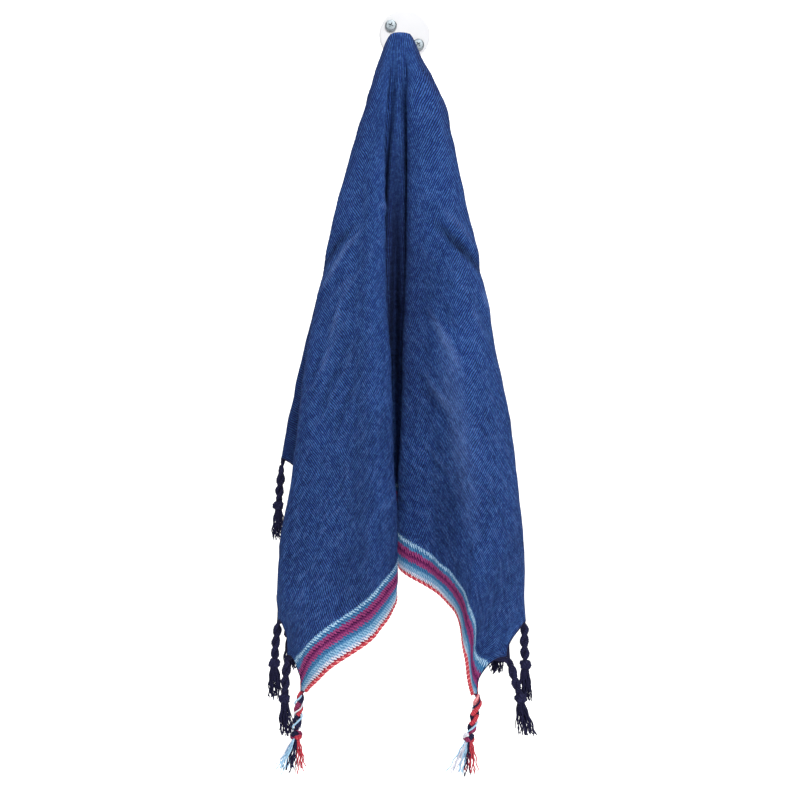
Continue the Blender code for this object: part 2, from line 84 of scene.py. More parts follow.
# How far the folded cloth reaches at each distance from the hanging point
reachNames = ("distance", "left", "right", "front", "back")
reachRows = (
    (0.0, 0.0, 0.0, 0.0, 0.0),
    (7.0, 6.4, 6.6, 6.4, 6.9),
    (20.0, 12.0, 12.6, 9.6, 19.6),
    (32.0, 16.2, 18.2, 11.2, 29.5),
    (55.0, 22.8, 26.0, 14.0, 32.5),
    (101.0, 35.5, 36.6, 21.0, 33.0),
    (170.0, 49.5, 51.0, 31.0, 33.5),
    (250.0, 59.8, 65.0, 42.0, 33.5),
    (305.0, 67.2, 69.8, 48.0, 33.5),
    (333.0, 69.0, 71.5, 50.0, 33.5),
    (375.0, 68.0, 71.5, 52.0, 33.5),
)
reach = dict(zip(reachNames, np.array(reachRows).T))

# Fold lines from the back left edge round the front: degrees from the front on the flat cloth,
# then the place across and in depth as a part of the reach, near the top and low down, and at
# the hanging corners where it is another
endAngle = 90.0 + math.degrees(math.atan2(cloth["backV"], cloth["fringeU"]))
foldNames = ("angle", "acrossTop", "depthTop", "acrossLow", "depthLow", "acrossEnd", "depthEnd")
foldRows = (
    (-endAngle, -0.38, 0.98, -0.2, 0.98),
    (-83.0, -0.66, 0.7, -1.18, 0.76),
    (-72.2, -0.5, 0.44, -0.54, 0.54),
    (-66.0, -0.9, 0.24, -0.98, 0.38),
    (-58.0, -0.56, 0.04, -0.46, 0.17),
    (-50.5, -0.94, -0.22, -1.0, -0.14, -0.96, -0.17),
    (-43.9, -0.83, -0.58, -0.66, -0.46, -0.8, -0.76),
    (-40.2, -0.68, -0.8, -0.42, -0.7, -0.59, -0.98),
    (-35.5, -0.54, -0.94, -0.2, -0.98, -0.19, -1.04),
    (-30.3, -0.4, -0.98, -0.02, -0.7, -0.07, -0.68),
    (-14.8, -0.42, -0.1, -0.42, 0.66),
    (-12.2, -0.27, 0.0, -0.3, 0.74),
    (-5.8, -0.17, -0.22, -0.17, -0.02),
    (-0.9, -0.07, -0.4, -0.06, 0.62),
    (4.0, 0.05, -0.22, 0.04, -0.02),
    (10.8, 0.18, 0.02, 0.26, 0.76),
    (13.2, 0.35, -0.04, 0.38, 0.68),
    (24.0, 0.19, -0.65, -0.03, -0.32, 0.4, -0.5),
    (29.7, 0.34, -0.92, 0.26, -0.56, 0.42, -0.52),
    (38.0, 0.74, -0.88, 0.58, -0.98, 0.48, -0.98),
    (42.5, 0.9, -0.56, 0.82, -0.8, 0.54, -0.92),
    (48.5, 1.0, -0.16, 0.96, -0.36, 0.94, -0.56),
    (58.0, 0.52, 0.06, 0.44, 0.17),
    (66.0, 0.96, 0.26, 0.92, 0.38),
    (74.4, 0.48, 0.46, 0.5, 0.54),
    (82.4, 0.76, 0.7, 1.0, 0.76),
    (endAngle, 0.34, 0.98, 0.16, 0.98),
)
fold = dict(zip(foldNames, np.array([(*row, *row[3:5])[:7] for row in foldRows]).T))

# Creases pressed or pulled into the cloth: height toward the viewer, half width, and the line
# that each follows on the flat cloth. A trough has a height below nought.
creases = (
    # the fold it was stored with, right across at a third of its length
    (1.5, 1.9, ((-124, 98), (-111, 97), (-101, 93), (-87, 89), (-77, 88), (-66, 89))),
    (-1.2, 3.2, ((-120, 90), (-104, 86), (-90, 82), (-72, 82))),
    (0.8, 4.5, ((54, 80), (70, 84), (88, 85), (106, 84))),
    (-1.7, 4.0, ((58, 90), (76, 93), (94, 94), (112, 92))),
    # puckers that run down the left fold toward its front edge
    (0.9, 1.8, ((-134, 128), (-117, 119), (-108, 111), (-97, 107), (-83, 106), (-68, 110))),
    (0.8, 1.7, ((-126, 111), (-111, 106), (-100, 104), (-86, 102))),
    (0.8, 1.7, ((-142, 135), (-128, 124), (-116, 117), (-104, 116))),
    (0.9, 1.9, ((-160, 145), (-143, 134), (-128, 128), (-112, 122), (-94, 119))),
    (-0.7, 2.2, ((-150, 135), (-136, 127), (-120, 122))),
    (0.8, 1.9, ((-163, 158), (-144, 149), (-124, 141), (-104, 136))),
    (-0.7, 2.4, ((-160, 152), (-140, 142), (-118, 135))),
    (0.7, 2.0, ((-170, 176), (-150, 167), (-130, 158), (-112, 152))),
    (-0.7, 2.6, ((-162, 168), (-142, 159), (-122, 149))),
    (0.6, 2.2, ((-176, 196), (-158, 186), (-138, 180))),
    # short pulls along the right fold
    (0.7, 2.6, ((74, 130), (90, 139), (104, 146), (120, 154))),
    (-0.8, 2.6, ((84, 128), (100, 136), (118, 144))),
    (0.7, 2.6, ((100, 116), (116, 125), (132, 131))),
    (-0.6, 2.4, ((106, 113), (122, 120), (134, 125))),
    (0.7, 2.6, ((88, 164), (106, 172), (126, 176))),
    (-0.6, 2.6, ((88, 172), (106, 180), (124, 184))),
    (0.7, 2.4, ((102, 196), (122, 204), (140, 206))),
    # a soft long ridge where the right fold turns to its side
    (0.95, 14.0, ((84, 120), (107, 152), (127, 177), (147, 199), (165, 217), (190, 240))),
    # bumps that show on the outline
    (1.2, 3.2, ((32, 27), (38, 26), (45, 29), (50, 34))),
    (1.2, 4.0, ((104, 104), (116, 108), (128, 108))),
    (0.9, 3.0, ((-57, 82), (-50, 88), (-44, 93))),
)


def shareOf(value, limits):
    # how far value has come from the first limit to the second, from 0 to 1
    start, end = limits
    return np.clip((value - start) / (end - start), 0.0, 1.0)


def smoothStep(t):
    t = np.clip(t, 0.0, 1.0)
    return t * t * (3.0 - 2.0 * t)


def hermite(t, start, leave, end, arrive):
    return ((1 + 2 * t) * (1 - t) ** 2 * start + t * (1 - t) ** 2 * leave
            + t * t * (3 - 2 * t) * end + t * t * (t - 1) * arrive)


def readReach(distance, name):
    # a smooth curve through the rows that never overshoots them
    knots, values = reach["distance"], reach[name]
    steps = np.diff(knots)
    slopes = np.diff(values) / steps
    before = 2 * steps[1:] + steps[:-1]
    after = steps[1:] + 2 * steps[:-1]
    rising = slopes[:-1] * slopes[1:] > 0
    safe = np.where(slopes == 0, 1.0, slopes)
    middle = np.where(rising, (before + after) / (before / safe[:-1] + after / safe[1:]), 0.0)
    tangents = np.concatenate(([slopes[0]], middle, [slopes[-1]]))
    distance = np.clip(distance, knots[0], knots[-1])
    i = np.clip(np.searchsorted(knots, distance) - 1, 0, len(steps) - 1)
    t = (distance - knots[i]) / steps[i]
    return hermite(t, values[i], steps[i] * tangents[i], values[i + 1],
                   steps[i] * tangents[i + 1])


def foldAngles(distance):
    # behind the lobes the fold lines spread as the back edge does
    flat = fold["angle"][:, None]
    angles = np.repeat(flat, len(distance), axis=1)
    left, right = cloth["leftLobe"], cloth["rightLobe"]
    furthest = math.hypot(cloth["fringeU"], cloth["backV"])
    beyond = np.clip(distance, cloth["backV"], furthest)
    limit = np.degrees(np.pi - np.arccos(cloth["backV"] / beyond))
    for lines, start, sign in ((slice(left), flat[left], 1),
                               (slice(right + 1, None), flat[right], -1)):
        stretch = (limit + sign * start) / (endAngle + sign * start)
        angles[lines] = start + (flat[lines] - start) * stretch
    return angles


def foldPlaces(distance, angles):
    folded = smoothStep(shareOf(distance, cloth["cap"]))
    lowered = 1.0 - (1.0 - shareOf(distance, cloth["lowering"])) ** 2
    atCorner = smoothStep(shareOf(distance, cloth["corners"]))
    turn = np.radians(angles)
    places = []
    for way in ("across", "depth"):
        top, low, end = (fold[way + height][:, None] for height in ("Top", "Low", "End"))
        place = top + (low - top) * lowered
        places.append(place + (end - place) * atCorner)
    across, depth = places
    alongEdge = np.sqrt(np.maximum(distance ** 2 - cloth["backV"] ** 2, 0.0))
    arch = np.sin(np.minimum(alongEdge / cloth["archRadius"], np.pi / 2))
    ends = across[[0, -1]] * arch
    across = np.sin(turn) + (across - np.sin(turn)) * folded
    across[[0, -1]] = ends
    depth = -np.cos(turn) + (depth + np.cos(turn)) * folded
    side = np.where(across < 0, readReach(distance, "left"), readReach(distance, "right"))
    toward = np.where(depth < 0, readReach(distance, "front"), readReach(distance, "back"))
    return np.stack([across * side, depth * toward], axis=-1)


def length(vectors):
    return np.linalg.norm(vectors, axis=-1, keepdims=True)


def unit(vectors):
    return vectors / np.maximum(length(vectors), 1e-9)


def loopFactor(before, turn, after):
    # the cloth turns in a fuller loop where it doubles back on itself
    straight = np.sum(unit(turn - before) * unit(after - turn), axis=-1, keepdims=True)
    return 1.0 + np.maximum(-straight, 0.0)


def hangingPoints(u, v):
    # every point hangs as far from the hanging point as it lies from it on the flat cloth
    distance = np.hypot(u, v)
    angles = foldAngles(distance)
    angle = np.clip(np.degrees(np.arctan2(u, v)), angles[0], angles[-1])
    points = np.arange(len(distance))
    index = np.sum(angles[1:-1] <= angle, axis=0)
    low, high = angles[index, points], angles[index + 1, points]
    t = ((angle - low) / np.maximum(high - low, 1e-9))[:, None]
    # a place more beyond either edge keeps the cloth straight there
    places = foldPlaces(distance, angles)
    places = np.concatenate((2 * places[:1] - places[1:2], places,
                             2 * places[-1:] - places[-2:-1]))
    before, start, end, after = (places[index + k, points] for k in range(4))
    first, middle, final = (np.sqrt(np.maximum(length(b - a), 1e-9))
                            for a, b in ((before, start), (start, end), (end, after)))
    leave = middle * ((start - before) / first - (end - before) / (first + middle)
                      + (end - start) / middle) * loopFactor(before, start, end)
    arrive = middle * ((end - start) / middle - (after - start) / (middle + final)
                       + (after - end) / final) * loopFactor(start, end, after)
    x, y = hermite(t, start, leave, end, arrive).T
    fall = np.sqrt(np.maximum(distance ** 2 - x ** 2 - y ** 2,
                              (cloth["leastFall"] * distance) ** 2))
    return np.stack([x, y, -fall], axis=-1) + cloth["tip"]


# The hand weave shrinks unevenly, which leaves soft ripples along its ribs
ripples = {
    "start": (-300.0, -60.0),  # corner of the area of flat cloth that the ripples cover
    "area": (600.0, 400.0),
    "clear": 30.0,  # they and the creases fade out within this of the hanging point
    "layers": (  # height, size of a ripple along u and v, seed
        (0.7, (34.0, 52.0), 3),
        (0.35, (11.0, 24.0), 5),
        (0.26, (10.5, 4.4), 8),
    ),
}


def bumps(u, v, cell, seed):
    # soft random hills and hollows from -1 to 1, one about every cell of the flat cloth
    random = np.random.default_rng(seed)
    counts = [int(side / step) + 3 for side, step in zip(ripples["area"], cell)]
    hills = random.uniform(-1.0, 1.0, counts)
    x, y = ((place - start) / step for place, start, step in zip((u, v), ripples["start"], cell))
    i, j = np.floor(x).astype(int), np.floor(y).astype(int)
    a, b = smoothStep(x - i), smoothStep(y - j)
    return ((hills[i, j] * (1 - a) + hills[i + 1, j] * a) * (1 - b)
            + (hills[i, j + 1] * (1 - a) + hills[i + 1, j + 1] * a) * b)


def creaseHeight(u, v):
    # each crease is fullest halfway along its line and fades toward both its ends
    endShare, fullness = 0.02, 0.7
    height = np.zeros_like(u)
    for rise, halfWidth, line in creases:
        legs = list(zip(line[:-1], line[1:]))
        total = sum(math.dist(a, b) for a, b in legs)
        nearest = np.full_like(u, np.inf)
        passed, share = 0.0, np.zeros_like(u)
        for a, b in legs:
            step = math.dist(a, b)
            du, dv = b[0] - a[0], b[1] - a[1]
            t = np.clip(((u - a[0]) * du + (v - a[1]) * dv) / step ** 2, 0, 1)
            away = np.hypot(u - a[0] - t * du, v - a[1] - t * dv)
            share = np.where(away < nearest, (passed + t * step) / total, share)
            nearest = np.minimum(away, nearest)
            passed += step
        ends = np.sin(np.pi * np.clip(share, endShare, 1.0 - endShare)) ** fullness
        height += rise * ends * np.exp(-(nearest / halfWidth) ** 2)
    return height


def relief(u, v):
    height = creaseHeight(u, v)
    for rise, cell, seed in ripples["layers"]:
        height += rise * bumps(u, v, cell, seed)
    return height * smoothStep(np.hypot(u, v) / ripples["clear"])


def sheetPoints(u, v):
    # the hanging sheet with its creases and ripples, raised along its own normal
    u, v = (np.atleast_1d(np.asarray(side, float)) for side in (u, v))
    step = 0.6
    alongU = hangingPoints(u + step, v) - hangingPoints(u - step, v)
    alongV = hangingPoints(u, v + step) - hangingPoints(u, v - step)
    normal = unit(np.cross(alongV, alongU))
    return hangingPoints(u, v) + normal * relief(u, v)[:, None]


# The tasselled edges draw in between the tassels, and their threads run together at each root
fringe = {
    "tassels": 13,
    "cornerInset": 5.0,  # the outer ones are rooted this far in from the striped edges
    "inset": 5.2,  # deepest point of the scallop between two tassels
    "fade": 20.0,  # how far into the cloth the pull reaches
    "fall": 1.5,  # above 1 the pull drops quickly at first
    "fullness": 0.9,  # below 1 a scallop is fuller than an arch
    "gather": 0.42,  # how much of the way to its root a thread is pulled at the edge
    "catch": 0.7,  # below 1 it catches more of the threads between two roots
}
pitch = (cloth["frontV"] + cloth["backV"] - 2 * fringe["cornerInset"]) / (fringe["tassels"] - 1)
firstRoot = cloth["frontV"] - fringe["cornerInset"]


def drawnIn(u, v):
    # where a thread of the flat cloth lies once the tassels are tied
    phase = (firstRoot - v) / pitch
    off = phase - np.clip(np.round(phase), 0, fringe["tassels"] - 1)
    pull = smoothStep(1.0 - (cloth["fringeU"] - np.abs(u)) / fringe["fade"]) ** fringe["fall"]
    scallop = np.sin(np.pi * np.minimum(np.abs(off), 0.5)) ** fringe["fullness"]
    newU = u - np.sign(u) * fringe["inset"] * scallop * pull
    near = np.cos(np.pi * np.clip(off, -0.5, 0.5)) ** fringe["catch"]
    newV = v + off * pitch * fringe["gather"] * pull * near
    return newU, newV


def addMesh(name, verts, faces, materials, attribute=None, values=None, indices=None):
    mesh = bpy.data.meshes.new(name)
    mesh.from_pydata((np.asarray(verts) * mm).tolist(), [], faces)
    if attribute:
        layer = mesh.attributes.new(attribute, "FLOAT_VECTOR", "POINT")
        layer.data.foreach_set("vector", np.asarray(values, np.float32).ravel())
    for material in materials:
        mesh.materials.append(material)
    if indices is not None:
        mesh.polygons.foreach_set("material_index", np.asarray(indices, np.int32))
    mesh.shade_smooth()
    mesh.update()
    piece = bpy.data.objects.new(name, mesh)
    bpy.context.collection.objects.link(piece)
    return piece


# Colours are sRGB hex values, as on a colour chart
def toLinear(hexColour):
    parts = [int(hexColour[i:i + 2], 16) / 255 for i in (1, 3, 5)]
    return tuple(c / 12.92 if c <= 0.04045 else ((c + 0.055) / 1.055) ** 2.4
                 for c in parts) + (1.0,)


def liveOutput(node):
    return next(socket for socket in node.outputs if socket.enabled)


def addNode(tree, kind, inputs=(), **settings):
    # inputs go to the live sockets, in order or by name; each is a value, a hex colour, a socket
    # or a node, which hands on its first live output
    kind, _, operation = kind.partition(".")
    node = tree.nodes.new("ShaderNode" + kind)
    if operation:
        node.operation = operation
    if kind == "Mix":
        node.data_type = "RGBA"
    for name, value in settings.items():
        setattr(node, name, value)
    live = [socket for socket in node.inputs if socket.enabled]
    if isinstance(inputs, dict):
        live = [next(socket for socket in live if socket.name == name) for name in inputs]
        inputs = inputs.values()
    for socket, value in zip(live, inputs):
        if isinstance(value, bpy.types.Node):
            value = liveOutput(value)
        if isinstance(value, bpy.types.NodeSocket):
            tree.links.new(value, socket)
        else:
            socket.default_value = toLinear(value) if isinstance(value, str) else value
    return node


def newMaterial(name, **finish):
    # hands back the material and the function that adds nodes to it
    material = bpy.data.materials.new(name)
    material.use_nodes = True
    shader = material.node_tree.nodes["Principled BSDF"]
    for socket, value in finish.items():
        shader.inputs[socket].default_value = value
    return material, functools.partial(addNode, material.node_tree)


def plugIn(material, plugs):
    tree = material.node_tree
    for name, node in plugs.items():
        tree.links.new(liveOutput(node), tree.nodes["Principled BSDF"].inputs[name])
    return material


# Cotton, hand woven with thick ribs: matt all over, with painted shade between the threads.
# A range says where something starts and is full, and then what it gives there, if not 0 and 1.
weave = {
    "rib": 1.22,  # from rib to rib, along u
    "float": 1.7,  # length that a thread shows before it dips under
    "wander": 0.4,  # how far a rib strays to either side
    "bends": 0.16,  # times a rib strays for each mm
    "narrow": 1.5,  # above 1 the ribs' crowns are narrower than their gaps
    "dip": (0.0, 0.5, 0.6, 1.0),  # lightness of a float as it comes up from under, painted shade where it dips
    # painted shade between the ribs and where the floats dip under
    "gap": "#060B20",
    "thread": "#2C4C96",
    "fleck": "#3F68AA",
    "flecks": (0.15, 1.0, 0.0, 0.9),  # by chance, how much of the fleck a float takes
    "hatch": (1.9, 2.3),  # a slanted weft thread of the stripes along u and across
    "stripes": (  # how far in from a striped edge, then its light and dark copies, painted light and painted shade on its slanted threads
        (0.0, "#C0323F", "#7A1F30"),
        (1.8, "#E6E4EC", "#7694BD"),
        (4.0, "#92BAD7", "#497EAA"),
        (6.9, "#477EAA", "#275484"),
        (9.3, "#9E4478", "#6C245A"),
        (11.7, "#742960", "#350B38"),
        (13.3, "#9E4478", "#6C245A"),
        (15.5, "#477EAA", "#275484"),
        (17.7, "#ADCFE6", "#3A6A9E"),
        (19.6, "#244183", "#070F27"),
    ),
    "stripeSpan": 25.0,  # what the colour ramps cover
    "ragged": (0.8, 0.5),  # how far a stripe's edge strays by chance and with its hatch
    "mottle": (0.7, 0.75),  # how much chance and the hatch turn it light or dark
    "lightDark": (0.45, 1.15),  # from a stripe's dark to its light
    "crepe": (0.13, 0.48),  # puckers for each mm along and across their own direction
    "lean": 12.0,  # degrees that the puckers lean from the stripes' direction
    "rise": (30.0, 190.0, 1.2, 4.6),  # from v to v, the puckers' height beside the ribs'
    "relief": 0.0003,  # metres
    "wornHighlight": "#5C7099",  # the puckers' crests, paler and greyer: worn, and with painted highlight
    "crests": (0.5, 0.72),  # by the puckers' noise
    "troughs": (0.5, 0.3),
    "wearAndPaintedLight": (20.0, 200.0, 0.16, 0.55),  # from v to v, how much the puckers are worn and given painted highlight and shade
    "ridges": (0.4, 1.4, 0.0, 0.9),  # painted highlight on a crease's ridge, by its height in mm
    # painted shade in a crease's groove, by its height in mm
    "grooves": (-0.2, -1.4, 0.0, 0.85),
    "paling": 0.4,  # how much of the worn colour a crest takes,
    "lift": 0.36,  # how much lighter it is, as painted highlight
    "drop": -0.65,  # and how much darker a trough, as painted shade
    "clouds": 0.03,  # clouds of the dye for each mm
    "dye": (0.3, 0.7, 0.86, 1.12),
    "deep": "#141331",  # the painted shade of the folds, and how far the cloth is mixed to it:
    "behind": (1.0, 1.4, 0.0, 0.45),  # by bearing, on the layers behind the lobes
    "inside": (0.66, 0.38, 0.0, 0.62),  # by bearing, inside the front fold,
    "insideLeft": (-0.58, -0.5),  # up to its other side
    "insideTop": (40.0, 110.0),  # and between these v
    "insideEnd": (225.0, 160.0),
    "below": (150.0, 260.0, 0.0, 0.2),  # by v, painted darker toward the front stripes
    "finish": {"Roughness": 1.0, "Specular IOR Level": 0.12},
}


def addRamp(add, place, column):
    ramp = add("ValToRGB", (place,))
    ramp.color_ramp.interpolation = "CONSTANT"
    stops = ramp.color_ramp.elements
    for number, stripe in enumerate(weave["stripes"]):
        stop = stops[number] if number < 2 else stops.new(1.0)
        stop.position = stripe[0] / weave["stripeSpan"]
        stop.color = toLinear(stripe[column])
    return ramp


def numberAndArch(add, count):
    # the whole part of a count, and an arch that rises and falls once as it goes up by one
    number = add("Math.FLOOR", (count,))
    turn = add("Math.MULTIPLY", (add("Math.FRACT", (count,)), math.pi))
    return number, add("Math.SINE", (turn,))


def weaveMaterial():
    material, add = newMaterial("hand_woven_cotton", **weave["finish"])
    flat = add("Attribute", attribute_name="flat").outputs["Vector"]
    u, v, creased = add("SeparateXYZ", (flat,)).outputs

    # each rib has its number, and each thread that floats on it has another
    stray = add("TexNoise", (flat, weave["bends"], 2.0))
    swing = add("Math.SUBTRACT", (stray, 0.5))
    strayed = add("Math.MULTIPLY_ADD", (swing, 4 * weave["wander"], u))
    ribs = add("Math.DIVIDE", (strayed, weave["rib"]))
    ribNumber, bow = numberAndArch(add, ribs)
    crown = add("Math.POWER", (bow, weave["narrow"]))
    start = add("TexWhiteNoise", (ribNumber,), noise_dimensions="1D")
    floats = add("Math.MULTIPLY_ADD", (v, 1 / weave["float"], start))
    floatNumber, hump = numberAndArch(add, floats)
    roundHump = add("MapRange", (hump, *weave["dip"]))
    thread = add("Math.MULTIPLY", (crown, roundHump))
    cell = add("CombineXYZ", (ribNumber, floatNumber))
    chance = add("TexWhiteNoise", (cell,), noise_dimensions="2D")

    # blue ground: painted shade between the ribs, each float a little lighter or darker than the
    # next
    ground = add("Mix", (thread, weave["gap"], weave["thread"]))
    chosen = add("MapRange", (chance, *weave["flecks"]))
    fleckShare = add("Math.MULTIPLY", (chosen, thread))
    flecked = add("Mix", (fleckShare, ground, weave["fleck"]))

    # stripes along both striped edges, of thick slanted weft threads, each in a lit and a shaded
    # copy of its colour, picked by painted light along the slant and by chance
    fromFront = add("Math.SUBTRACT", (cloth["frontV"], v))
    fromBack = add("Math.ADD", (cloth["backV"], v))
    inward = add("Math.MINIMUM", (fromFront, fromBack))
    hatchU, hatchV = (2 * math.pi / size for size in weave["hatch"])
    slantU = add("Math.MULTIPLY", (strayed, hatchU))
    slant = add("Math.MULTIPLY_ADD", (inward, hatchV, slantU))
    wave = add("Math.SINE", (slant,))
    byChance, byHatch = weave["ragged"]
    jitter = add("Math.MULTIPLY_ADD", (chance, byChance, inward))
    stepped = add("Math.MULTIPLY_ADD", (wave, byHatch, jitter))
    shifted = add("Math.SUBTRACT", (stepped, byChance / 2))
    scaled = add("Math.MULTIPLY", (shifted, 1 / weave["stripeSpan"]))
    byChance, byHatch = weave["mottle"]
    lit = add("Math.MULTIPLY_ADD", (wave, byHatch, thread))
    mottled = add("Math.MULTIPLY_ADD", (chance, byChance, lit))
    pick = add("MapRange", (mottled, *weave["lightDark"]))
    striped = add("Mix", (pick, addRamp(add, scaled, 2), addRamp(add, scaled, 1)))
    plain = add("Math.GREATER_THAN", (shifted, weave["stripes"][-1][0]))
    coloured = add("Mix", (plain, striped, flecked))

    # crepe puckers lean away from the middle of the cloth, and stand higher further down
    mirrored = add("CombineXYZ", (add("Math.ABSOLUTE", (u,)), v, u))
    lean = (0.0, 0.0, -math.radians(weave["lean"]))
    turned = add("Mapping", {"Vector": mirrored, "Rotation": lean})
    stretch = add("Mapping", {"Vector": turned, "Scale": (*weave["crepe"], 0.01)})
    pucker = add("TexNoise", {"Vector": stretch, "Scale": 1.0, "Detail": 4.0, "Roughness": 0.6,
                              "Distortion": 0.7})
    rise = add("MapRange", (v, *weave["rise"]))
    puckers = add("Math.MULTIPLY", (pucker, rise))
    height = add("Math.MULTIPLY_ADD", (thread, 0.5, puckers))
    raised = add("Bump", {"Height": height, "Distance": weave["relief"], "Strength": 0.9})

    # the crests of puckers and creases are paled to a worn colour and lightened as painted
    # highlight, and their troughs darkened as painted shade
    crest = add("MapRange", (pucker, *weave["crests"]))
    trough = add("MapRange", (pucker, *weave["troughs"]))
    wearAndPaintedLight = add("MapRange", (v, *weave["wearAndPaintedLight"]))
    onGround = add("Math.MULTIPLY", (wearAndPaintedLight, plain))
    ridge = add("MapRange", (creased, *weave["ridges"]))
    crests = add("Math.MULTIPLY_ADD", (crest, onGround, ridge))
    groove = add("MapRange", (creased, *weave["grooves"]))
    troughs = add("Math.MULTIPLY_ADD", (trough, onGround, groove))
    paling = add("Math.MULTIPLY", (crests, weave["paling"]))
    paled = add("Mix", (paling, coloured, weave["wornHighlight"]))
    cloud = add("TexNoise", (flat, weave["clouds"], 4.0))
    dyed = add("MapRange", (cloud, *weave["dye"]))
    # painted highlight on crests and painted shade in troughs, over the dye's clouds
    lighter = add("Math.MULTIPLY_ADD", (crests, weave["lift"], dyed))
    shade = add("Math.MULTIPLY_ADD", (troughs, weave["drop"], lighter))
    cloudedAndShaded = add("Mix", (1.0, paled, shade), blend_type="MULTIPLY")

    # painted shade: the blue is darkened inside the front fold, on the layers behind the lobes
    # and toward the front stripes, as deep folds would be shaded; they fan out from the hanging
    # point, so their sides go by bearing, u for each v
    bearing = add("Math.DIVIDE", (u, add("Math.MAXIMUM", (v, 1.0))))
    behind = add("MapRange", (add("Math.ABSOLUTE", (bearing,)), *weave["behind"]))
    inside = add("MapRange", (bearing, *weave["inside"]))
    for place, limit in ((bearing, "insideLeft"), (v, "insideTop"), (v, "insideEnd")):
        share = add("MapRange", (place, *weave[limit]))
        inside = add("Math.MULTIPLY", (inside, share))
    shadeInFolds = add("Math.MAXIMUM", (inside, behind))
    below = add("MapRange", (v, *weave["below"]))
    deepest = add("Math.MAXIMUM", (shadeInFolds, below))
    foldShadeOnGround = add("Math.MULTIPLY", (deepest, plain))
    final = add("Mix", (foldShadeOnGround, cloudedAndShaded, weave["deep"]))
    return plugIn(material, {"Base Color": final, "Normal": raised})


# Cotton yarn, loosely spun: matt, its twist showing as fine slanted lines of painted light and
# shade over random fuzz
yarn = {
    # each yarn's dark and light copy, for the painted shade and light along its twist
    "colours": {
        "navy": ("#121223", "#2A2A4A"),
        "red": ("#962537", "#D64F5A"),
        "rose": ("#D16F78", "#FFB2B2"),
        "white": ("#C6C8DE", "#F4F3F8"),
        "sky": ("#7BA9D1", "#BEE6FF"),
        "wine": ("#571A35", "#A04169"),
    },
    "twist": 1.9,  # length of one turn of its twist
    "ridge": 0.22,  # height of the twist's ridges beside the fuzz
    "fuzz": 2.2,  # tufts for each mm
    "shades": (0.25, 0.85),  # heights that are painted dark and light
    "odd": 0.35,  # how much lighter one strand may be than another
    "relief": 0.00012,  # metres
    "finish": {"Roughness": 1.0, "Specular IOR Level": 0.12},
}


def yarnMaterial(name):
    material, add = newMaterial(name + "_cotton_yarn", **yarn["finish"])
    thread = add("Attribute", attribute_name="thread").outputs["Vector"]
    along, around, strand = add("SeparateXYZ", (thread,)).outputs
    turned = add("Math.MULTIPLY_ADD", (along, 1 / yarn["twist"], around))
    plies = add("Math.MULTIPLY", (turned, 4 * math.pi))
    crest = add("Math.SINE", (plies,))
    fuzz = add("TexNoise", (thread, yarn["fuzz"], 4.0))
    mixed = add("Math.MULTIPLY_ADD", (crest, yarn["ridge"], fuzz))
    shade = add("MapRange", (mixed, *yarn["shades"]))
    own = add("TexWhiteNoise", (strand,), noise_dimensions="1D")
    lifted = add("Math.MULTIPLY_ADD", (own, yarn["odd"], shade), use_clamp=True)
    colour = add("Mix", (lifted, *yarn["colours"][name]))
    raised = add("Bump", {"Height": mixed, "Distance": yarn["relief"], "Strength": 0.9})
    return plugIn(material, {"Base Color": colour, "Normal": raised})


# The hook's two finishes, both on steel
coats = {
    # white and half glossy, with a very fine orange peel
    "white_powder_coat": {
        "colours": ("#E6E6E7", "#DCDDDF"),
        "clouds": 90.0,  # for each metre
        "grain": 0.9,  # from one hump of the orange peel to the next
        "detail": 1.0,
        "relief": 0.00003,  # metres
        "strength": 0.5,
        "finish": {"Roughness": 0.35, "Coat Weight": 0.15, "Coat Roughness": 0.2},
    },
    # cold headed, cool grey and bright, clouded with small darker scuffs
    "zinc_plated_steel": {
        "colours": ("#636D73", "#A8B1B6"),
        "clouds": 700.0,
        "roughness": (0.0, 1.0, 0.34, 0.52),  # from the scuffs to the bright zinc
        "grain": 0.35,  # size of the plating's spangle
        "detail": 2.0,
        "relief": 0.00004,
        "strength": 0.4,
        "finish": {"Metallic": 1.0},
    },
}


def coatMaterial(name):
    coat = coats[name]
    material, add = newMaterial(name, **coat["finish"])
    place = add("TexCoord").outputs["Object"]
    cloud = add("TexNoise", (place, coat["clouds"], 3.0))
    grain = add("TexNoise", (place, 1 / (coat["grain"] * mm), coat["detail"]))
    plugs = {"Base Color": add("Mix", (cloud, *coat["colours"])),
             "Normal": add("Bump", {"Height": grain, "Distance": coat["relief"],
                                    "Strength": coat["strength"]})}
    if "roughness" in coat:
        plugs["Roughness"] = add("MapRange", (cloud, *coat["roughness"]))
    return plugIn(material, plugs)


yarnNames = list(yarn["colours"])
yarnMaterials = [yarnMaterial(name) for name in yarnNames]
print("materials ready")


# Yarns and cords are swept tubes, gathered in a pool that becomes one mesh
def newPool():
    return {"verts": [], "faces": [], "threads": [], "yarns": [], "count": 0, "tubes": 0}


def sweepFrames(points):
    # directions along the line, and one across it that turns as little as it can
    tangents = unit(np.gradient(points, axis=0))
    start = np.cross(tangents[0], (0.0, 1.0, 0.0))
    if np.linalg.norm(start) < 0.2:
        start = np.cross(tangents[0], (1.0, 0.0, 0.0))
    across = [unit(start)]
    for tangent in tangents[1:]:
        across.append(unit(across[-1] - tangent * np.dot(across[-1], tangent)))
    across = np.array(across)
    return tangents, across, np.cross(tangents, across)


def spin(across, other, turn):
    # across, spun round the line toward other
    turn = np.asarray(turn)[..., None]
    return across * np.cos(turn) + other * np.sin(turn)


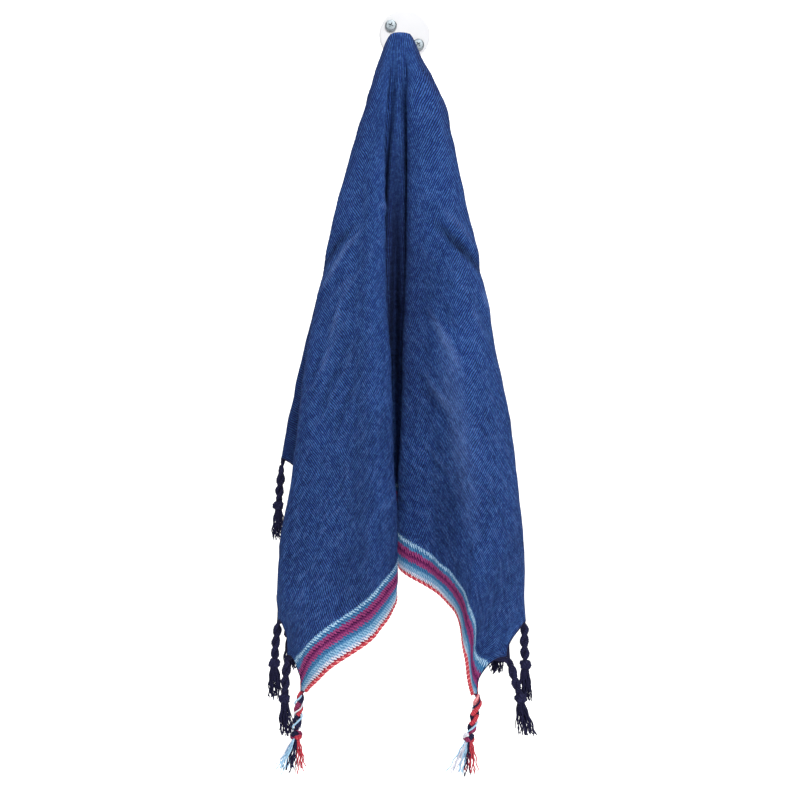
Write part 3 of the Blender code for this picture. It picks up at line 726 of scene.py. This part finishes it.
def addTube(pool, points, radii, colours, sides, lobes=0, depth=0.0, turns=9.0):
    # colours is one yarn, or several that change along the tube; turns is the length in which its
    # lobes wind once round it
    points = np.asarray(points, float)
    rings = len(points)
    radii = np.broadcast_to(radii, rings)
    tangents, across, other = sweepFrames(points)
    along = np.concatenate(([0.0], np.cumsum(length(np.diff(points, axis=0))[:, 0])))
    turn = 2 * np.pi * np.arange(sides) / sides
    twist = turn[None, :] - 2 * np.pi * along[:, None] / turns
    out = radii[:, None] * (1.0 + depth * np.cos(lobes * twist))
    spokes = spin(across[:, None], other[:, None], turn[None, :])
    verts = (points[:, None] + spokes * out[:, :, None]).reshape(-1, 3)
    first = pool["count"]
    colours = [colours] if isinstance(colours, str) else colours
    for i in range(rings - 1):
        yarnIndex = yarnNames.index(colours[i * len(colours) // (rings - 1)])
        for k in range(sides):
            a, b = first + i * sides + k, first + i * sides + (k + 1) % sides
            pool["faces"].append((a, b, b + sides, a + sides))
            pool["yarns"].append(yarnIndex)
    # a low point closes each end
    tip = first + rings * sides
    lastRing = tip - sides
    for k in range(sides):
        n = (k + 1) % sides
        pool["faces"].append((tip, first + n, first + k))
        pool["faces"].append((tip + 1, lastRing + k, lastRing + n))
        pool["yarns"] += [yarnNames.index(colours[0]), yarnNames.index(colours[-1])]
    tipHeight = 0.6
    ends = (points[0] - tangents[0] * radii[0] * tipHeight,
            points[-1] + tangents[-1] * radii[-1] * tipHeight)
    pool["verts"].append(np.concatenate((verts, ends)))
    coords = np.stack([np.repeat(along, sides), np.tile(turn / (2 * np.pi), rings),
                       np.full(rings * sides, float(pool["tubes"]))], axis=-1)
    tipCoords = ((0.0, 0.5, pool["tubes"]), (along[-1], 0.5, pool["tubes"]))
    pool["threads"].append(np.concatenate((coords, tipCoords)))
    pool["count"] += rings * sides + 2
    pool["tubes"] += 1


def addPoolMesh(name, pool, slot, *nodes):
    used = sorted(set(pool["yarns"]))
    indices = [used.index(i) for i in pool["yarns"]]
    piece = addMesh(name, np.concatenate(pool["verts"]), pool["faces"],
                    [yarnMaterials[i] for i in used], "thread",
                    np.concatenate(pool["threads"]), indices)
    if nodes:
        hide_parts(*nodes)
    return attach(piece, "root")


# The sheet itself, one mesh on the flat cloth's own grid
def makeSheet():
    us = np.linspace(-cloth["fringeU"], cloth["fringeU"], cloth["cellsU"] + 1)
    vs = np.linspace(-cloth["backV"], cloth["frontV"], cloth["cellsV"] + 1)
    gridU, gridV = (side.ravel() for side in np.meshgrid(us, vs, indexing="ij"))
    verts = sheetPoints(*drawnIn(gridU, gridV))
    rows = cloth["cellsV"] + 1
    faces = [(k, k + rows, k + rows + 1, k + 1) for i in range(cloth["cellsU"])
             for k in range(i * rows, i * rows + cloth["cellsV"])]
    flat = np.stack([gridU, gridV, creaseHeight(gridU, gridV)], axis=-1)
    sheet = addMesh("cloth_sheet", verts, faces, [weaveMaterial()], "flat", flat)
    shell = sheet.modifiers.new("thickness", "SOLIDIFY")
    shell.thickness = cloth["thickness"] * mm
    shell.offset = 0.0
    return sheet


sheet = makeSheet()
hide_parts("washcloth")
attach(sheet, "root")
print("cloth hung,", len(sheet.data.polygons), "squares")


# A red roll of three plies binds each striped edge, one ply slim and paler
roll = {
    "plies": (("red", 0.6), ("red", 0.56), ("rose", 0.4)),  # yarn, radius
    "offset": 0.5,  # from the roll's middle to each ply's
    "turn": 3.6,  # length of one turn of the plies
    "step": 0.75,  # from ring to ring
    "inset": 0.5,  # the roll's middle lies this far inside the cloth's edge
}


def makeRoll(name, v):
    rings = int(2 * cloth["fringeU"] / roll["step"])
    us = np.linspace(-cloth["fringeU"], cloth["fringeU"], rings)
    middle = sheetPoints(*drawnIn(us, np.full(rings, v)))
    tangents, across, other = sweepFrames(middle)
    pool = newPool()
    for ply, (colour, radius) in enumerate(roll["plies"]):
        turn = 2 * np.pi * (us / roll["turn"] + ply / len(roll["plies"]))
        line = middle + roll["offset"] * spin(across, other, turn)
        addTube(pool, line, radius, colour, sides=7)
    return addPoolMesh(name, pool, "corner_yarn")


rolls = [makeRoll("front_roll", cloth["frontV"] - roll["inset"]),
         makeRoll("back_roll", roll["inset"] - cloth["backV"])]
print("edges rolled")


# Navy threads run along the tasselled edges in scallops from root to root
edging = {
    "radius": 0.55,
    "tube": {"sides": 7, "lobes": 3, "depth": 0.12, "turns": 3.0},
    "step": 1.2,  # from ring to ring, along v
    "inset": 1.0,  # it stops this far short of the striped edges
}
edgingEnds = (edging["inset"] - cloth["backV"], cloth["frontV"] - edging["inset"])


def makeEdging(name, side):
    vs = np.arange(*edgingEnds, edging["step"])
    line = sheetPoints(*drawnIn(np.full(len(vs), side * cloth["fringeU"]), vs))
    pool = newPool()
    addTube(pool, line, edging["radius"], "navy", **edging["tube"])
    return addPoolMesh(name, pool, "navy_yarn")


edgings = [makeEdging("left_edging", -1), makeEdging("right_edging", 1)]


# Tassels, 13 along each plain edge: two plies twisted to a cord, a knot, and loose ends
tassel = {
    "rootGap": 0.6,
    "rootPull": 5.0,  # how strongly the cord sets off along the cloth
    "cord": 20.0,  # length of the cord
    "tuck": 0.02,  # share of cord and knot by which it runs on into the knot
    "turn": 13.2,  # length of one turn of its plies
    "plyRadius": 1.32,
    "plyOffset": 1.12,
    "plyTube": {"sides": 14, "lobes": 5, "depth": 0.13, "turns": -11.0},
    "slack": 0.2,  # how unevenly the plies lie away from each other
    "rootWidth": 0.45,  # a cord swells from this share of its width
    "swell": 0.16,  # over this share of cord and knot,
    "neck": 0.25,  # and narrows by this much
    "neckSpan": 0.06,  # over this share before the knot
    "step": 0.55,  # from ring to ring
    "knot": 6.0,  # length of the knot
    "knotRadius": 3.5,
    "knotRings": 54,
    "knotDepth": 1.7,  # how far its loops lie over each other
    "knotSpin": 0.8,  # radians on from the plies
    "knotYarns": ("wine", "red", "white", "wine", "navy", "wine"),
    "loop": 1.3,  # radius of the cord that makes the knot
    "loopTube": {"sides": 12, "lobes": 5, "depth": 0.12},
    "core": (1.2, 1.9, 2.2, 2.2, 1.9, 1.3),  # radii of what the knot closes on
    "ends": 32,
    "endLength": 17.0,
    "shorter": 0.22,  # share by which a loose end may be shorter
    "endRadius": 0.42,
    "thickness": (0.85, 1.15),  # least and most beside that
    "thinning": 0.35,  # share of it that is lost toward the tip
    "endRings": 15,
    "mouth": 1.7,  # radius of the knot's end, where they come out
    "belly": 0.7,  # and how far they swell halfway down
    "spreads": (1.35, 1.9),  # how wide a plain and a corner brush open
    "kink": 0.45,  # how far a loose end waves to either side
    "waves": (1.4, 3.4),  # and how often it does, from least to most
    "stray": 0.14,  # how far a colour strays in a corner brush
    "roots": 9,  # threads that run together into one cord
    "rootYarns": ("red", "white", "sky", "wine", "navy"),
    "rootSpan": 8.5,  # length of edge at either side that they come from
    "rootInset": 1.5,  # how far inside the edge they start
    "rootRadius": 0.42,
    "rootRings": 9,
    # each cord's plies: its yarns from the top down, how thick and how far out it is
    "plies": {
        "plain": ((("navy",), 1.0, 1.0), (("navy",), 1.0, 1.0)),
        "left": ((("navy", "wine", "navy", "navy"), 0.95, 1.0),
                 (("red", "wine", "red", "navy", "red"), 0.8, 1.15),
                 (("sky",), 0.36, 1.75), (("white",), 0.28, 1.95)),
        "right": ((("red", "red", "navy", "wine"), 0.95, 1.0),
                  (("rose", "navy", "red", "navy"), 0.85, 1.1),
                  (("navy", "white", "sky"), 0.34, 1.8)),
    },
    # the corner tassels' loose ends from the left to the right
    "brush": {"left": ("white", "sky", "navy", "navy", "red", "red"),
              "right": ("sky", "white", "sky", "navy", "red", "red")},
}

# How each hangs, from the front corner back: how far its knot hangs sideways and in depth from
# its root, and for some where the loose ends drift and how far they open
hangNames = ("lean", "away", "splay", "spread")
straight = (0.0, 1.8)
hangRows = {
    "left": ((-3.0, -2.0, -3.0, 3.8), (-1.5, -2.0, 1.0, 1.8), (-2.5, -1.0, 1.0, 1.8), (0.0, 3.0),
             (-4.0, -5.0), (5.0, 3.0), (3.0, -1.5), (5.0, 1.0), (3.0, 0.5), (2.0, 1.5),
             (-2.0, 1.0), (1.0, 0.0), (0.0, 0.0, 0.0, 2.4)),
    "right": ((-5.5, -2.0, -3.0, 3.6), (8.0, 0.0, 3.0, 3.0), (0.5, 0.0), (-1.0, 3.0),
              (8.0, -4.0), (7.0, 3.0), (0.0, -2.0), (-5.0, 0.5), (-2.0, 1.0), (0.0, 2.0),
              (1.0, 1.0), (-1.0, 0.0), (0.0, 0.0, 0.0, 2.4)),
}
reachDown = tassel["cord"] + tassel["knot"]
cordShare = tassel["cord"] / reachDown


def rootFrame(side, height):
    # a point on the tasselled edge, and the way the cloth would run on from there
    edge = side * cloth["fringeU"]
    inner = edge - side * 4.0
    root, within, above, below = sheetPoints((edge, inner, edge, edge),
                                             (height, height, height + 2.0, height - 2.0))
    along = unit(above - below)
    ray = unit(root - within)
    return root, unit(ray - along * np.dot(ray, along))


def addCord(pool, path, plies, phase):
    # two plies face each other, and at a corner slim threads lie between them
    shares = np.linspace(0.0, cordShare + tassel["tuck"], int(tassel["cord"] / tassel["step"]))
    middle = path(shares)
    tangents, across, other = sweepFrames(middle)
    narrow, span = tassel["rootWidth"], tassel["neckSpan"]
    width = smoothStep(shares / tassel["swell"]) * (1.0 - narrow) + narrow
    width *= 1.0 - tassel["neck"] * smoothStep((shares - cordShare + span) / span)
    along = shares * reachDown
    for ply, (colours, thick, wide) in enumerate(plies):
        turn = 2 * np.pi * (along / tassel["turn"] + ply % 2 / 2 + ply // 2 / 5) + phase
        loose = 1.0 + tassel["slack"] * np.sin(along * 0.9 + 2.1 * ply + phase)
        offset = (tassel["plyOffset"] * wide * width * loose)[:, None]
        addTube(pool, middle + offset * spin(across, other, turn),
                tassel["plyRadius"] * thick * width, colours, **tassel["plyTube"])


def addKnot(pool, centre, down, phase, corner):
    # a true overhand knot, pulled tight on a core
    t = np.linspace(0.0, 2 * np.pi, tassel["knotRings"])
    loopX, loopY = np.sin(t) + 2 * np.sin(2 * t), np.cos(t) - 2 * np.cos(2 * t)
    loopZ = -tassel["knotDepth"] * np.sin(3 * t)
    sideways = unit(np.cross(down, (0.0, 1.0, 0.0)))
    first = spin(sideways, np.cross(down, sideways), phase + tassel["knotSpin"])
    second = np.cross(down, first)
    size = (tassel["knotRadius"] - tassel["loop"]) / 3.0
    bend = (np.outer(loopX, first) + np.outer(loopY, second) + np.outer(loopZ, down)) * size
    addTube(pool, centre + bend, tassel["loop"], tassel["knotYarns"] if corner else "navy",
            **tassel["loopTube"])
    radii = np.array(tassel["core"])
    core = centre + np.outer(np.linspace(-0.45, 0.5, len(radii)) * tassel["knot"], down)
    addTube(pool, core, radii, "wine" if corner else "navy", sides=10)


def addEnds(pool, end, down, hang, phase, brush, random):
    # loose ends fan out of the knot and kink where they were spun
    share = np.linspace(0.0, 1.0, tassel["endRings"])
    for strand in range(tassel["ends"]):
        turn = strand * 2.39996 + phase  # the golden angle spreads them evenly
        radial = np.array((math.cos(turn), math.sin(turn), 0.0))
        radial *= math.sqrt((strand + 0.5) / tassel["ends"])
        spread = hang["spread"] * tassel["spreads"][bool(brush)]
        drift = radial * spread + (hang["splay"], 0.0, 0.0)
        fall = tassel["endLength"] * (1.0 - tassel["shorter"] * random.uniform() ** 1.5) + 1.0
        out = radial * (tassel["mouth"] + tassel["belly"] * np.sin(np.pi * share)[:, None])
        line = (end - down * 1.4 + out + np.outer(share, (0.0, 0.0, -fall))
                + np.outer(share ** 1.25, drift))
        waves, phases = random.uniform(*tassel["waves"], 2), random.uniform(0, 2 * np.pi, 2)
        line[:, :2] += (tassel["kink"] * share[:, None] ** 0.5
                        * np.sin(2 * np.pi * np.outer(share, waves) + phases))
        colour = "navy"
        if brush:
            place = (radial[0] + 1.0) / 2 + tassel["stray"] * random.uniform(-1, 1)
            colour = brush[int(np.clip(place * len(brush), 0, len(brush) - 1))]
        radius = tassel["endRadius"] * random.uniform(*tassel["thickness"])
        radii = radius * (1.0 - tassel["thinning"] * share)
        addTube(pool, line, radii, colour, sides=5)


def addRoots(pool, side, height, start, outward, finish, corner):
    # threads of the cloth's edge run together into the cord
    share = np.linspace(0.0, 1.0, tassel["rootRings"])[:, None]
    span = tassel["rootSpan"]
    for thread, off in enumerate(np.linspace(-span, span, tassel["roots"])):
        v = np.clip([height + off], *edgingEnds)
        u = np.array([side * (cloth["fringeU"] - tassel["rootInset"])])
        begin = sheetPoints(*drawnIn(u, v))[0]
        control = start + outward * 0.4 + (begin - start) * 0.25
        line = begin * (1 - share) ** 2 + control * 2 * share * (1 - share) + finish * share ** 2
        colour = tassel["rootYarns"][thread % len(tassel["rootYarns"])] if corner else "navy"
        addTube(pool, line, tassel["rootRadius"], colour, sides=6)


def makeTassel(sideName, number):
    side = -1 if sideName == "left" else 1
    hang = dict(zip(hangNames, (*hangRows[sideName][number], *straight)))
    corner = number in (0, fringe["tassels"] - 1)
    random = np.random.default_rng(100 * (side + 2) + number)
    phase = random.uniform(0, 2 * np.pi)
    height = firstRoot - number * pitch
    root, outward = rootFrame(side, height)
    start = root + outward * tassel["rootGap"]
    end = start + reachDown * unit(np.array((hang["lean"], hang["away"], -reachDown)))
    down = unit(end - start)

    def path(share):
        share = np.asarray(share)[..., None]
        return (start * (1 - share) + end * share
                + outward * tassel["rootPull"] * share * (1 - share) ** 2)

    pool = newPool()
    addCord(pool, path, tassel["plies"][sideName if corner else "plain"], phase)
    addKnot(pool, path((cordShare + 1.0) / 2), down, phase, corner)
    addEnds(pool, end, down, hang, phase, tassel["brush"][sideName] if corner else (), random)
    addRoots(pool, side, height, start, outward, path(tassel["swell"]), corner)
    name = f"tassel_{sideName}_{number + 1:02d}"
    return addPoolMesh("yarn_" + name, pool, "corner_yarn" if corner else "navy_yarn", name)


tassels = [makeTassel(sideName, number) for sideName in hangRows
           for number in range(fringe["tassels"])]
print("tassels tied,", sum(len(piece.data.polygons) for piece in tassels), "faces")


# The hook's own solids are right, and get their finish
def finishNode(name, material):
    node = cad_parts[name]
    node.data.materials.clear()
    node.data.materials.append(material)


whiteCoat, plating = (coatMaterial(name) for name in coats)
for name in ("hook_plate", "hook_arm"):
    finishNode(name, whiteCoat)
for name in ("screw_1", "screw_2"):
    finishNode(name, plating)
print("hook finished")


# Studio: a soft key light in front and above, a weak one at the right, and a lamp behind for the
# white floor and backdrop
studio = {
    "floor": -620.0,  # height of the floor
    "floorSize": 14000.0,
    "backdrop": (2400.0, 4500.0),  # distance behind the wall face, and height
    "paint": ("#F8F8F8", "#F4F4F4"),
    "mottle": 3.0,  # clouds of the paint for each metre
    "surround": 0.32,  # strength of the soft light from all round
    "lights": (  # place, what each is aimed at and size in metres, and watts
        ((0.2, -1.3, 0.8), (0.0, -0.05, -0.2), 0.45, 20.8),
        ((1.2, -1.2, 0.0), (0.0, -0.05, -0.2), 0.9, 2.2),
        ((0.0, 0.5, 1.2), (0.0, 2.4, -0.35), 1.4, 62.0),
    ),
}


def addPanel(name, corners, material):
    panel = addMesh(name, corners, [(0, 1, 2, 3)], [material])


def makeStudio():
    material, add = newMaterial("matt_studio_paint", Roughness=0.9)
    mottle = add("TexNoise", {"Scale": studio["mottle"], "Detail": 2.0})
    plugIn(material, {"Base Color": add("Mix", (mottle, *studio["paint"]))})
    size, low = studio["floorSize"] / 2, studio["floor"]
    behind, high = studio["backdrop"]
    addPanel("floor", [(-size, -size, low), (size, -size, low), (size, behind, low),
                       (-size, behind, low)], material)
    addPanel("backdrop", [(-size, behind, low), (size, behind, low), (size, behind, high),
                          (-size, behind, high)], material)
    world = bpy.data.worlds.new("studio")
    world.use_nodes = True
    back = world.node_tree.nodes["Background"]
    back.inputs["Color"].default_value = (1.0, 1.0, 1.0, 1.0)
    back.inputs["Strength"].default_value = studio["surround"]
    bpy.context.scene.world = world
    for number, (place, aim, side, power) in enumerate(studio["lights"]):
        lamp = bpy.data.lights.new(f"softbox_{number}", "AREA")
        lamp.size = side
        lamp.energy = power
        light = bpy.data.objects.new(lamp.name, lamp)
        light.location = place
        toward = mathutils.Vector(aim) - light.location
        light.rotation_euler = toward.to_track_quat("-Z", "Y").to_euler()
        bpy.context.collection.objects.link(light)


makeStudio()
bpy.context.scene.view_settings.view_transform = "Standard"
print("studio lit")
